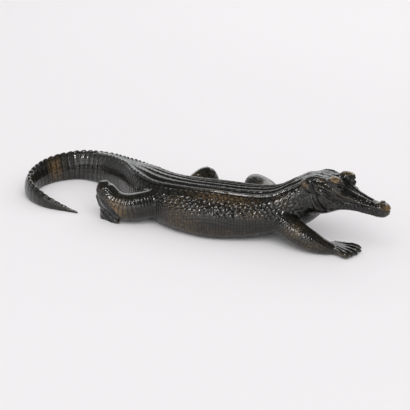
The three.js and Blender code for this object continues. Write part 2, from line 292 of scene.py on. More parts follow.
def light_studio():
    """A bright room for the paper, a darker one for what the bronze mirrors, and the lamps."""
    world = bpy.data.worlds.new("studio")
    bpy.context.scene.world = world
    world.use_nodes = True
    nodes, links = world.node_tree.nodes, world.node_tree.links
    bright = nodes["Background"]
    set_inputs(bright, {"Color": (1.0, 0.985, 1.0, 1), "Strength": ROOM_STRENGTH})
    mirrored = nodes.new("ShaderNodeBackground")
    set_inputs(mirrored, {"Color": (0.95, 0.97, 1.0, 1)})
    height = nodes.new("ShaderNodeSeparateXYZ")
    links.new(nodes.new("ShaderNodeTexCoord").outputs["Generated"], height.inputs["Vector"])
    fading = nodes.new("ShaderNodeMapRange")
    set_inputs(fading, {"From Min": 0, "From Max": MIRRORED_DARK_FROM})
    set_inputs(fading, {"To Min": MIRRORED_LOW, "To Max": MIRRORED_HIGH})
    links.new(height.outputs["Z"], fading.inputs["Value"])
    links.new(fading.outputs["Result"], mirrored.inputs["Strength"])
    either = nodes.new("ShaderNodeMixShader")
    links.new(nodes.new("ShaderNodeLightPath").outputs["Is Glossy Ray"], either.inputs["Fac"])
    links.new(bright.outputs["Background"], either.inputs[1])
    links.new(mirrored.outputs["Background"], either.inputs[2])
    links.new(either.outputs["Shader"], nodes["World Output"].inputs["Surface"])
    for lamp in ROOM_LAMPS:
        add_softbox(*lamp, glints=False)
    for lamp in MIRRORED_LAMPS:
        add_softbox(*lamp, glints=True)
    bpy.context.scene.view_settings.view_transform = "Standard"


def new_material(name):
    material = bpy.data.materials.new(name)
    material.use_nodes = True
    return material, material.node_tree.nodes["Principled BSDF"]


def add_floor():
    material, shader = new_material("studio paper")
    set_inputs(shader, {"Base Color": (0.8, 0.79, 0.795, 1), "Roughness": 0.9, "Specular IOR Level": 0.1})
    deselect_all()
    bpy.ops.mesh.primitive_plane_add(size=12, location=(0, 0, 0))
    floor = bpy.context.object
    floor.name = "studio floor"
    floor.data.materials.append(material)


# Work on objects and their meshes
def deselect_all():
    if bpy.context.object and bpy.context.object.mode != "OBJECT":
        bpy.ops.object.mode_set(mode="OBJECT")
    bpy.ops.object.select_all(action="DESELECT")


def only(form):
    """Selects one form and makes it the active one."""
    deselect_all()
    form.select_set(True)
    bpy.context.view_layer.objects.active = form


def apply_modifier(form, kind, **settings):
    only(form)
    modifier = form.modifiers.new(kind.lower(), kind)
    for key, value in settings.items():
        setattr(modifier, key, value)
    bpy.ops.object.modifier_apply(modifier=modifier.name)


def join(forms, name):
    deselect_all()
    for form in forms:
        form.select_set(True)
    bpy.context.view_layer.objects.active = forms[0]
    bpy.ops.object.join()
    bpy.context.object.name = name
    return bpy.context.object


def copy_of(form, place):
    """A copy with a mesh of its own, moved to its place."""
    copy = form.copy()
    copy.data = form.data.copy()
    bpy.context.scene.collection.objects.link(copy)
    copy.data.transform(place)
    return copy


def coordinates(form):
    spots = np.empty(len(form.data.vertices) * 3, np.float32)
    form.data.vertices.foreach_get("co", spots)
    return spots.reshape(-1, 3).astype(float)


def normals(form):
    ways = np.empty(len(form.data.vertices) * 3, np.float32)
    form.data.vertex_normals.foreach_get("vector", ways)
    return ways.reshape(-1, 3).astype(float)


def place_vertices(form, spots):
    form.data.vertices.foreach_set("co", np.asarray(spots, np.float32).ravel())
    form.data.update()


def keep_values(form, name, values):
    """Keeps a value at each of a form's points, for its material to read."""
    attribute = form.data.attributes.new(name, "FLOAT", "POINT")
    attribute.data.foreach_set("value", values.astype(np.float32))


# Reading the station rows
def smooth_values(values, shares):
    """The smooth curve through evenly spaced values, at shares from 0 to 1 of the row."""
    values = np.asarray(values, float)
    at = np.clip(shares, 0, 1) * (len(values) - 1)
    k = np.minimum(at.astype(int), len(values) - 2)
    w = at - k
    before, start, end = values[np.maximum(k - 1, 0)], values[k], values[k + 1]
    after = values[np.minimum(k + 2, len(values) - 1)]
    leave, arrive = (end - before) / 2, (after - start) / 2
    cubic = 2 * start - 2 * end + leave + arrive
    square = -3 * start + 3 * end - 2 * leave - arrive
    return ((cubic * w + square) * w + leave) * w + start


def smooth_points(points, shares):
    """The smooth path through points, paced by the square roots of their distances."""
    points = np.asarray(points, float)
    padded = np.vstack([2 * points[0] - points[1], points, 2 * points[-1] - points[-2]])
    at = np.clip(shares, 0, 1) * (len(points) - 1)
    k = np.minimum(at.astype(int), len(points) - 2)
    w = (at - k)[:, None]
    p0, p1, p2, p3 = padded[k], padded[k + 1], padded[k + 2], padded[k + 3]
    pace = [np.sqrt(np.linalg.norm(b - a, axis=1))[:, None] for a, b in ((p0, p1), (p1, p2), (p2, p3))]
    leave = ((p1 - p0) / pace[0] - (p2 - p0) / (pace[0] + pace[1]) + (p2 - p1) / pace[1]) * pace[1]
    arrive = ((p2 - p1) / pace[1] - (p3 - p1) / (pace[1] + pace[2]) + (p3 - p2) / pace[2]) * pace[1]
    square = -3 * p1 + 3 * p2 - 2 * leave - arrive
    cubic = 2 * p1 - 2 * p2 + leave + arrive
    return ((cubic * w + square) * w + leave) * w + p1


TRACK_SAMPLES = 3001  # along a row, from which its length is measured


class Run:
    """A station row read at even steps: its points, the way along it and the sizes there."""

    def __init__(self, stations, axes, step, sizes):
        rows = np.array(stations, float)
        shares = np.linspace(0, 1, TRACK_SAMPLES)
        track = smooth_points(rows[:, :axes], shares)
        steps = np.linalg.norm(np.diff(track, axis=0), axis=1)
        travelled = np.concatenate([[0], np.cumsum(steps)])
        self.length = travelled[-1]
        self.distance = np.linspace(0, self.length, max(4, round(self.length / step) + 1))
        share = np.interp(self.distance, travelled, shares)
        self.centre = smooth_points(rows[:, :axes], share)
        way = np.gradient(self.centre, axis=0)
        self.way = way / np.linalg.norm(way, axis=1)[:, None]
        for i, size in enumerate(sizes):
            setattr(self, size, smooth_values(rows[:, axes + i], share))


SECTION = ("half", "top", "under", "above", "below")


def section_run(stations, step):
    """A run of sections that follow a path in plan, with their shield where the row gives one."""
    has_shield = len(stations[0]) > 2 + len(SECTION)
    run = Run(stations, 2, step, (*SECTION, "shield") if has_shield else SECTION)
    run.left = np.stack([-run.way[:, 1], run.way[:, 0]], 1)
    return run


def limb_run(stations, step):
    return Run(stations, 3, step, ("radius",))


def section_outline(run, turns):
    """How far out, and how high over its widest level, each section reaches at turns from its left side up."""
    cosine, sine = np.cos(turns), np.sin(turns)
    height = (run.top - run.under)[:, None]
    power = 2 / np.where(sine > 0, run.above[:, None], run.below[:, None])
    tall = np.where(sine > 0, height * (1 - WAIST), height * WAIST)
    out = run.half[:, None] * np.sign(cosine) * np.abs(cosine) ** power
    return out, tall * np.sign(sine) * np.abs(sine) ** power


def section_rings(run, turns):
    """The points of each section, at turns from its left side up over its top."""
    out, up = section_outline(run, turns)
    widest_level = run.under + (run.top - run.under) * WAIST
    plan = run.centre[:, None] + out[..., None] * run.left[:, None]
    return np.concatenate([plan, (widest_level[:, None] + up)[..., None]], axis=2)


NO_LIMBS_WAY = (0.3, 0.1, 1.0)  # no limb starts along it


def limb_rings(run, turns):
    """Round rings along a limb, kept from twisting."""
    rings = []
    across = np.cross(run.way[0], NO_LIMBS_WAY)
    for i in range(len(run.distance)):
        across = across - run.way[i] * (across @ run.way[i])
        across = across / np.linalg.norm(across)
        upward = np.cross(across, run.way[i])
        round_it = np.cos(turns)[:, None] * across + np.sin(turns)[:, None] * upward
        rings.append(run.centre[i] + run.radius[i] * round_it)
    return rings


# Forms
HEAD_PLACE = Matrix.Translation((HEAD_BACK[0] * MM, HEAD_BACK[1] * MM, 0))
HEAD_PLACE = HEAD_PLACE @ Matrix.Rotation(HEAD_TURN, 4, "Z")


def turns_round(sides):
    return np.arange(sides) * 2 * math.pi / sides


def drawn_out(name, rings, place=Matrix()):
    """A closed form through rings of points: a disc, drawn out ring by ring."""
    deselect_all()
    sides = len(rings[0])
    bpy.ops.mesh.primitive_circle_add(vertices=sides, radius=0.01, fill_type="NGON", location=(0, 0, 0))
    form = bpy.context.object
    form.name = name
    bpy.ops.object.mode_set(mode="EDIT")
    bpy.ops.mesh.select_all(action="SELECT")
    mesh = bmesh.from_edit_mesh(form.data)
    side = mesh.verts.layers.int.new("side")
    for k, vertex in enumerate(mesh.verts):
        vertex[side] = k
    for i, ring in enumerate(rings):
        if i:
            bpy.ops.mesh.extrude_region_move()
            mesh = bmesh.from_edit_mesh(form.data)
            side = mesh.verts.layers.int["side"]
        for vertex in mesh.verts:
            if vertex.select:
                vertex.co = place @ Vector(ring[vertex[side]] * MM)
    bmesh.update_edit_mesh(form.data)
    bpy.ops.mesh.select_all(action="SELECT")
    bpy.ops.mesh.normals_make_consistent(inside=False)
    bpy.ops.object.mode_set(mode="OBJECT")
    return form


def ball(name, centre, radii, place=Matrix()):
    """A ball stretched to three radii."""
    deselect_all()
    bpy.ops.mesh.primitive_uv_sphere_add(segments=24, ring_count=16, radius=MM, location=(0, 0, 0))
    form = bpy.context.object
    form.name = name
    stretch = Matrix.Diagonal((*radii, 1))
    form.data.transform(place @ Matrix.Translation(Vector(centre) * MM) @ stretch)
    return form


def bosses_on_both_sides(bosses):
    return [
        ball(name, (x, side * y, z), radii, HEAD_PLACE)
        for side in (-1, 1)
        for name, (x, y, z), radii in bosses
    ]


def trunk_forms():
    return [drawn_out("trunk", section_rings(section_run(TRUNK, 3), turns_round(64)))]


def head_forms():
    skull = drawn_out("skull", section_rings(section_run(SKULL, 1.5), turns_round(48)), HEAD_PLACE)
    jaw = drawn_out("lower jaw", section_rings(section_run(LOWER_JAW, 1.5), turns_round(40)), HEAD_PLACE)
    return [skull, jaw] + bosses_on_both_sides(HEAD_BOSSES)


def face_forms():
    """The eyes, the nostrils and the teeth, kept crisp."""
    forms = bosses_on_both_sides(FACE_BOSSES)
    tooth = ball("tooth", (0, 0, 0), TOOTH_RADII)
    snout = section_run(SKULL, 1)
    for x in TEETH:
        half = snout.half[np.argmin(np.abs(snout.centre[:, 0] - x))]
        for side in (-1, 1):
            root = Vector((x, side * half * TOOTH_ASIDE, TOOTH_LEVEL)) * MM
            forms.append(copy_of(tooth, HEAD_PLACE @ Matrix.Translation(root)))
    bpy.data.objects.remove(tooth)
    return forms


def leg_forms():
    turns = turns_round(32)
    return [drawn_out(name, limb_rings(limb_run(row, 2.5), turns)) for name, row in LEGS.items()]


def unit(way):
    way = np.array(way, float)
    return way / np.linalg.norm(way)


def foot_frame(foot):
    """The ankle, the way to the left, the ways the palm and the toes point, and the ways up from each."""
    aside, down, forward = unit(foot.left), unit(foot.palm_way), unit(foot.toe_way)
    palm_up, toe_up = unit(np.cross(down, aside)), unit(np.cross(forward, aside))
    return np.array(foot.ankle, float), aside, down, forward, palm_up, toe_up


def palm_thickness(share):
    """From the middle of the foot to its top, at a share of the palm's length."""
    return FOOT_THICKNESS * (1 - PALM_THINNING * share)


def toe_stations(foot):
    """Each toe of a foot, from its sinew on the palm to the tip of its claw."""
    start, aside, down, forward, palm_up, toe_up = foot_frame(foot)
    rows = []
    for i, (spread, length) in enumerate(foot.toes):
        angle = math.radians(spread)
        way = forward * math.cos(angle) + aside * math.sin(angle)
        shift = (foot.half - foot.radius) * (2 * i / (len(foot.toes) - 1) - 1)
        row = []
        for share in SINEW_PLACES:
            middle = start + down * foot.palm * share + aside * shift * (0.45 + 0.55 * share)
            spot = middle + palm_up * (palm_thickness(share) - foot.radius * 0.72)
            row.append((*spot, foot.radius * 0.75))
        knuckle = start + down * foot.palm + aside * shift
        for share, lift, thickness in TOE_PROFILE:
            row.append((*(knuckle + way * length * share + toe_up * lift), foot.radius * thickness))
        row.append((*(knuckle + way * length - toe_up * CLAW_DROP), CLAW_TIP))
        rows.append(row)
    return rows


def paw_rings(foot, sides, rings):
    """The palm and the web that runs on from it between the toes."""
    start, aside, down, forward, palm_up, toe_up = foot_frame(foot)
    turns = turns_round(sides)
    across, upward = np.cos(turns)[:, None], np.sin(turns)[:, None]
    out = []
    for share in np.linspace(-0.1, 1, rings):
        width = foot.half * (ANKLE_SHARE + (1 - ANKLE_SHARE) * share)
        middle = start + down * foot.palm * share
        out.append(middle + across * aside * width + upward * palm_up * palm_thickness(share))
    spreads, lengths = np.array(foot.toes, float).T
    toe_places = np.linspace(-1, 1, len(foot.toes))
    angle = np.radians(np.interp(across, toe_places, spreads))
    way = np.cos(angle) * forward + np.sin(angle) * aside
    for share in np.linspace(0, 1, rings)[1:]:
        reach = WEB_SHARE * share * np.interp(across, toe_places, lengths)
        thick = palm_thickness(1) * (1 - share) + foot.radius * WEB_THICKNESS * share
        knuckles = start + down * foot.palm + across * aside * (foot.half - 0.8 * share)
        out.append(knuckles + way * reach + upward * toe_up * thick)
    return out


def paw_forms():
    return [drawn_out(name, paw_rings(foot, 28, 8)) for name, foot in FEET.items()]


def toe_forms():
    rows = [row for foot in FEET.values() for row in toe_stations(foot)]
    return [drawn_out("toe", limb_rings(limb_run(row, 1.2), turns_round(16))) for row in rows]


def crest_scute():
    """One scute of the crest: a leaf that leans back over the next, one pitch long and of height 1."""
    deselect_all()
    bpy.ops.mesh.primitive_cone_add(vertices=12, radius1=1, radius2=0, depth=1, location=(0, 0, 0.5))
    leaf = bpy.context.object
    bpy.ops.object.transform_apply(location=True)
    bpy.ops.object.mode_set(mode="EDIT")
    bpy.ops.mesh.select_all(action="SELECT")
    bpy.ops.mesh.subdivide(number_cuts=2, smoothness=0.25)
    bpy.ops.object.mode_set(mode="OBJECT")
    spots = coordinates(leaf)
    spots[:, 2] = 1 - (1 - np.clip(spots[:, 2], 0, 1)) ** 1.5
    spots[:, 0] -= 0.5 * spots[:, 2] ** 1.3
    place_vertices(leaf, spots)
    return leaf


def crest_row(trunk, leaf, start, end, aside, height_at):
    """Scutes along the trunk, at a share of the shield's half width to the left of its middle."""
    scutes = []
    for distance in np.arange(start, end, CREST_PITCH):
        i = np.argmin(np.abs(trunk.distance - distance))
        lean = aside * trunk.shield[i]
        wide = min(1.5 if aside else 1.9, trunk.half[i] * 0.55)
        power = 2 / trunk.above[i]
        turn = math.acos(min(1, abs(lean) / trunk.half[i]) ** (1 / power)) if lean else math.pi / 2
        level = WAIST + (1 - WAIST) * math.sin(turn) ** power
        rise = trunk.under[i] + (trunk.top[i] - trunk.under[i]) * level
        along = Vector((*trunk.way[i], 0))
        outward = trunk.left[i] * math.cos(turn) * np.sign(lean)
        tilt = Vector((*outward, math.sin(turn))).normalized()
        across = tilt.cross(along).normalized()
        root = Vector((*(trunk.centre[i] + trunk.left[i] * lean), rise - SCUTE_ROOT)) * MM
        basis = Matrix((along, across, tilt)).transposed().to_4x4()
        tall = height_at(distance) + SCUTE_ROOT
        size = Matrix.Diagonal((CREST_PITCH * 0.56 * MM, wide * MM, tall * MM, 1))
        scutes.append(copy_of(leaf, Matrix.Translation(root) @ basis @ size))
    return scutes


def crest_forms():
    """Two rows of scutes that rise along the root of the tail and join in one, which falls towards its tip."""

    def rising(distance):
        return 1.5 * min(1, max(0.5, (distance - CREST_START) / 40))

    def falling(distance):
        return 1.8 * min(1, max(0.3, (CREST_END - distance) / 150))

    trunk = section_run(TRUNK, 1)
    leaf = crest_scute()
    forms = crest_row(trunk, leaf, CREST_START, CREST_JOIN, CREST_ASIDE, rising)
    forms += crest_row(trunk, leaf, CREST_START, CREST_JOIN, -CREST_ASIDE, rising)
    forms += crest_row(trunk, leaf, CREST_JOIN, CREST_END, 0, falling)
    bpy.data.objects.remove(leaf)
    return forms


# Joining the forms
def neighbour_middle(form):
    """A function that gives, for values at a form's points, the middle of each point's neighbours' values."""
    edges = np.empty(len(form.data.edges) * 2, np.int32)
    form.data.edges.foreach_get("vertices", edges)
    one, other = edges.reshape(-1, 2).T
    ends = np.concatenate([one, other])
    total = len(form.data.vertices)
    count = np.maximum(np.bincount(ends, minlength=total), 1)[:, None]

    def middle(values):
        met = np.concatenate([values[other], values[one]])
        return np.column_stack([np.bincount(ends, met[:, k], total) for k in range(values.shape[1])]) / count

    return middle


def fill_hollows(form, passes):
    """Softens the creases where forms meet, as wax is worked into them, and hardly touches what swells."""
    middle = neighbour_middle(form)
    spots = coordinates(form)
    for _ in range(passes):
        place_vertices(form, spots)
        pull = middle(spots) - spots
        outward = (pull * normals(form)).sum(1)
        spots = spots + pull * np.where(outward > 0, 0.6, 0.12)[:, None]
    place_vertices(form, spots)


def swelling(form, passes):
    """How far each point stands out from the form around it, in millimetres, below 0 in hollows."""
    middle = neighbour_middle(form)
    spots = coordinates(form)
    smooth = spots
    for _ in range(passes):
        smooth = middle(smooth)
    return ((spots - smooth) * normals(form)).sum(1) / MM


def joined_skin(soft_forms, crisp_forms):
    """All the forms as one closed skin, as the wax of a cast is joined."""
    core = join(soft_forms, "core")
    apply_modifier(core, "REMESH", mode="VOXEL", voxel_size=CORE_GRAIN * MM, adaptivity=0)
    fill_hollows(core, 16)
    skin = join([core] + crisp_forms, "crocodile_skin")
    apply_modifier(skin, "REMESH", mode="VOXEL", voxel_size=SKIN_GRAIN * MM, adaptivity=0)
    apply_modifier(skin, "SMOOTH", factor=0.5, iterations=2)
    return skin


# Places on the body
SPOTS_AT_ONCE = 20000  # measured against every centre, to spare memory
GIRTH_STEPS = 96  # round a section, from its top down to its underside


def nearest(spots, centres):
    """For each spot, the nearest centre's index."""
    found = np.empty(len(spots), int)
    centres = centres.astype(np.float32)
    square = (centres**2).sum(1)
    for start in range(0, len(spots), SPOTS_AT_ONCE):
        part = spots[start : start + SPOTS_AT_ONCE].astype(np.float32)
        found[start : start + SPOTS_AT_ONCE] = np.argmin(square - 2 * part @ centres.T, axis=1)
    return found


def girth_at(run, i, at):
    """How far round section i it is from the top to a place, given in girth steps."""
    out, up = section_outline(run, np.linspace(math.pi / 2, -math.pi / 2, GIRTH_STEPS + 1))
    steps = np.hypot(np.diff(out, axis=1), np.diff(up, axis=1))
    table = np.concatenate([np.zeros((len(out), 1)), np.cumsum(steps, axis=1)], axis=1)
    k = np.clip(at.astype(int), 0, GIRTH_STEPS - 1)
    w = np.clip(at - k, 0, 1)
    return table[i, k] * (1 - w) + table[i, k + 1] * w


def girth_of_shield(run):
    """How far round each section it is from the top to the edge of the shield."""
    share = np.minimum(run.shield / run.half, 1) ** (run.above / 2)
    return girth_at(run, np.arange(len(share)), np.arcsin(share) / math.pi * GIRTH_STEPS)


def section_places(run, spots):
    """Where spots lie on a form: along it, round it from the top with left positive, outside it."""
    i = nearest(spots[:, :2], run.centre)
    offset = spots[:, :2] - run.centre[i]
    along = run.distance[i] + (offset * run.way[i]).sum(1)
    aside = (offset * run.left[i]).sum(1)
    height = run.top[i] - run.under[i]
    up = spots[:, 2] - run.under[i] - height * WAIST
    tall = np.where(up > 0, height * (1 - WAIST), height * WAIST)
    square = np.where(up > 0, run.above[i], run.below[i])
    x, y = np.abs(aside) / run.half[i], np.abs(up) / tall
    share = (x**square + y**square) ** (1 / square)
    outside = np.hypot(aside, up) * (1 - 1 / np.maximum(share, 1e-3))
    past_end = np.maximum(-along, along - run.length)
    outside = np.where(past_end > 0, np.hypot(np.maximum(outside, 0), past_end), outside)
    turn = np.arctan2(np.sign(up) * y ** (square / 2), x ** (square / 2))
    girth = girth_at(run, i, (math.pi / 2 - turn) / math.pi * GIRTH_STEPS)
    return along, girth * np.sign(aside), outside, i


def limb_places(run, spots):
    """Where spots lie on a limb: along it, round it from its upper side, outside it."""
    i = nearest(spots, run.centre)
    way = run.way[i]
    offset = spots - run.centre[i]
    ahead = (offset * way).sum(1)
    flat = offset - way * ahead[:, None]
    upward = (0, 0, 1) - way * way[:, 2:]
    upward = upward / np.maximum(np.linalg.norm(upward, axis=1), 1e-6)[:, None]
    side = np.cross(way, upward)
    turn = np.arctan2((flat * side).sum(1), (flat * upward).sum(1))
    return run.distance[i] + ahead, turn * run.radius[i], np.linalg.norm(offset, axis=1) - run.radius[i]


def to_head_frame(spots):
    """Spots of the rows' frame in the head's own frame."""
    c, s = math.cos(-HEAD_TURN), math.sin(-HEAD_TURN)
    x, y, z = (spots - (*HEAD_BACK, 0)).T
    return np.column_stack([x * c - y * s, x * s + y * c, z])


def on_left_side(spots):
    """Spots of the head's frame, with those of its right side mirrored to its left."""
    return spots * (1, 0, 1) + np.abs(spots[:, 1])[:, None] * (0, 1, 0)


# Patterns
FAR = 1e9


def scatter(i, j, seed):
    """A steady stand-in for chance, from 0 to 1, for each pair of whole numbers."""
    return np.modf(np.abs(np.sin(i * 127.1 + j * 311.7 + seed * 74.7) * 43758.5453))[0]


def scales(along, across, pitch, loose, seed):
    """Loose scales of a pitch, in staggered rows: how far in from a scale's edge, and its own lean."""
    u, v = along / pitch[0], across / pitch[1]
    near = np.full(u.shape, FAR)
    second = np.full(u.shape, FAR)
    lean = np.zeros(u.shape)
    row = np.floor(v)
    for dj in (-1, 0, 1):
        j = row + dj
        stagger = 0.5 * np.mod(j, 2)
        column = np.floor(u - stagger)
        for di in (-1, 0, 1):
            i = column + di
            du = (u - i - 0.5 - stagger - loose * (scatter(i, j, seed) - 0.5)) * pitch[0]
            dv = (v - j - 0.5 - loose * (scatter(i, j, seed + 1) - 0.5)) * pitch[1]
            away = np.hypot(du, dv)
            closer = away < near
            second = np.where(closer, near, np.minimum(second, away))
            own_lean = du * (scatter(i, j, seed + 2) - 0.5) + dv * (scatter(i, j, seed + 3) - 0.5)
            lean = np.where(closer, own_lean, lean)
            near = np.where(closer, away, near)
    return (second - near) / 2, lean


def ease(low, high, value):
    """0 up to low, 1 from high on, and a smooth rise between them."""
    t = np.clip((value - low) / (high - low), 0, 1)
    return t * t * (3 - 2 * t)


def grooves(distance, pitch, width):
    """0 in the narrow grooves between bands of a pitch, 1 on the bands."""
    off = np.abs(np.mod(distance / pitch, 1) - 0.5) * pitch
    return ease(0, width, pitch / 2 - off)


def ribs(distance, pitch):
    """Rounded ribs of a pitch with sharp grooves between them, from 0 to 1."""
    return np.abs(np.sin(math.pi * distance / pitch)) ** 0.7


# Chasing the trunk and the tail
RIDGES_EACH_SIDE = 3
RIDGE_HALF = 1.9
INNER_RIDGES_END = 236.0
PLATE_PITCH = 6.3  # along the ridges
FLANK_SCALE = (4.4, 3.2)  # pitches along and round the body
ROW_SCALE = (4.6, 3.0)
BELLY_SCALE = (2.35, 2.3)
BAND_PITCH = 3.5
# From where to where along the trunk one pattern gives way to the next
NECK_TO_BELLY = (40, 66)
BODY_TO_TAIL = (160, 182)
BANDS_TO_WHORLS = (236, 262)
WHORLS_TO_TIP = (325, 345)


def back_ridges(along, share, shield):
    """Ridges along the shield, dented plate by plate, which fade at the neck and on the tail."""
    off = np.abs(np.mod(share * RIDGES_EACH_SIDE, 1) - 0.5) * shield / RIDGES_EACH_SIDE
    keel = ease(0, 1, 1 - off / np.minimum(RIDGE_HALF, shield / 8))
    plates = 0.94 + 0.06 * np.cos(2 * math.pi * along / PLATE_PITCH)
    end = np.where(np.abs(share) > 0.67, CREST_JOIN, INNER_RIDGES_END)
    fade = np.clip(np.minimum((end - along) / 50, (along + 8) / 30), 0, 1)
    return (1.1 * keel * plates - 0.2) * fade * np.minimum(1, shield / 12)


def flank_scales(along, girth, shield, tail):
    """Round scales, each domed and leaning its own way, with flatter rows of them next to the shield."""
    edge, lean = scales(along, girth, FLANK_SCALE, 0.75, seed=3)
    dome = 1 - (1 - np.clip(edge / 1.9, 0, 1)) ** 2
    round_scales = 0.16 * dome + 0.4 * ease(0, 0.8, edge) + 0.42 * lean - 0.32
    edge, lean = scales(along, girth - shield * np.sign(girth), ROW_SCALE, 0.5, seed=11)
    row_scales = 0.3 * ease(0, 1.1, edge) + 0.1 * lean - 0.12
    in_rows = (1 - ease(shield + 5.5, shield + 8, np.abs(girth))) * (1 - tail)
    return row_scales * in_rows + round_scales * (1 - in_rows)


def belly_grid(along, girth):
    """Small square scales in rows that sway a little."""
    sway = 0.35 * np.sin(girth / 4.1 + along / 17) + 0.25 * np.sin(along / 6.7)
    lengthwise = grooves(girth + 1.4 * sway, BELLY_SCALE[1], 0.8)
    return 0.36 * grooves(along + sway, BELLY_SCALE[0], 0.8) * lengthwise - 0.16


def tail_rings(along, girth):
    """Bands across the root of the tail, and further on broader whorls, one to each scute of the crest."""
    bands = 0.5 * ribs(along, BAND_PITCH) + 0.06 * grooves(girth, 3.1, 0.8) - 0.3
    whorls = 0.5 * ribs(along - CREST_START, CREST_PITCH) + 0.14 * grooves(girth, 5.2, 0.9) - 0.35
    far_tail = ease(*BANDS_TO_WHORLS, along)
    tip = ease(*WHORLS_TO_TIP, along)
    return bands * (1 - far_tail) + (0.45 * bands + whorls) * far_tail * (1 - 0.5 * tip)


def chase_trunk(run, along, girth, i, height):
    """The trunk's and the tail's relief, in millimetres."""
    shield = girth_of_shield(run)[i]
    share = girth / shield
    underside = np.maximum(run.under[i], 0)
    level = (height - underside) / (run.top[i] - underside)
    neck = 1 - ease(*NECK_TO_BELLY, along)
    low = 1 - ease(0.52 - 0.2 * neck, 0.6 - 0.2 * neck, level)
    tail = ease(*BODY_TO_TAIL, along)
    body = flank_scales(along, girth, shield, tail) * (1 - low) + belly_grid(along, girth) * low
    side = body * (1 - tail) + tail_rings(along, girth) * tail
    on_shield = 1 - ease(0.96, 1.1, np.abs(share))
    return back_ridges(along, share, shield) * on_shield + side * (1 - 0.85 * on_shield)


# Chasing the legs and the feet
LEG_SCALE = (2.35, 3.0)
PAD_SCALE = (2.0, 1.8)
THIGH_BANDS = 2.2  # pitches along the leg
CALF_BANDS = 3.4
TOE_FOLDS = 1.9


def chase_leg(along, round_it, run, seed, banded):
    """Small scales that swirl at the joint and fade on the leg's upper side, and bands across a banded leg."""
    swirl = ease(0.6, 0.85, along / run.length)
    warp = (0.4 + 1.5 * swirl) * np.sin(round_it / 3.1 + seed) + 0.7 * np.sin(along / 5.3 + round_it / 7)
    edge, lean = scales(along + warp, round_it, LEG_SCALE, 0.35, seed)
    fade = 0.35 + 0.65 * ease(2.5, 7, np.abs(round_it))
    small = 0.32 * ease(0, 0.7, edge) + 0.13 * lean - 0.15
    calf = ease(0.4, 0.46, along / run.length)
    bands = 0.3 * (1 - calf) * ribs(along, THIGH_BANDS) + 0.5 * calf * ribs(along + 0.4 * warp, CALF_BANDS)
    bands = bands * (0.75 + 0.25 * grooves(round_it, 3.1, 0.9)) - 0.25
    share = banded * (1 - swirl)
    return (bands * share + small * (1 - share)) * fade


def chase_toe(along, round_it, run):
    """Folds across the toe, and a smooth claw set in a little."""
    share = along / run.length
    claw = ease(0.66, 0.74, share)
    folds = 0.22 * grooves(along, TOE_FOLDS, 0.5) - 0.1
    return folds * (1 - claw) - 0.25 * claw * (1 - ease(0.7, 0.8, share))


def chase_pads(spots):
    """A fine grain on the palms and the webs."""
    x, y, z = spots.T
    edge, lean = scales(x + z * 0.6, y - z * 0.5, PAD_SCALE, 0.6, seed=61)
    return 0.18 * ease(0, 0.5, edge) + 0.08 * lean - 0.08


# The near hindfoot's sole
SOLE_EDGE = (-94.6, -29.4, 21.4)  # a point of the crease along its edge
SOLE_WAY = (-0.567, -0.539, -0.624)  # outwards from that edge
SOLE_MIDDLE = (-92, -25, 9)
SOLE_REACH = 19
SOLE_FOLDS = (3.6, 6.6)  # how far out from the crease


def chase_sole(spots):
    """The crease round the sole and the folds between its toes, and how much of the sole each spot is: the
    share that the patina darkens as painted shade.
    """
    height = spots[:, 2]
    below = (spots - SOLE_EDGE) @ np.array(SOLE_WAY)
    about = 1 - ease(SOLE_REACH - 4, SOLE_REACH, np.linalg.norm(spots - SOLE_MIDDLE, axis=1))
    crease = -1.3 * np.exp(-((below / 0.9) ** 2)) * (1 - ease(17, 24, height))
    folds = sum(-0.9 * np.exp(-(((below - out) / 0.7) ** 2)) for out in SOLE_FOLDS)
    folds = folds * (1 - ease(8, 14, height))
    return (crease + folds) * about, ease(-0.4, 0.8, below) * about


# Chasing the head
HEAD_MOTTLING = (2.6, 2.3)
STROKE_POINTS = 60
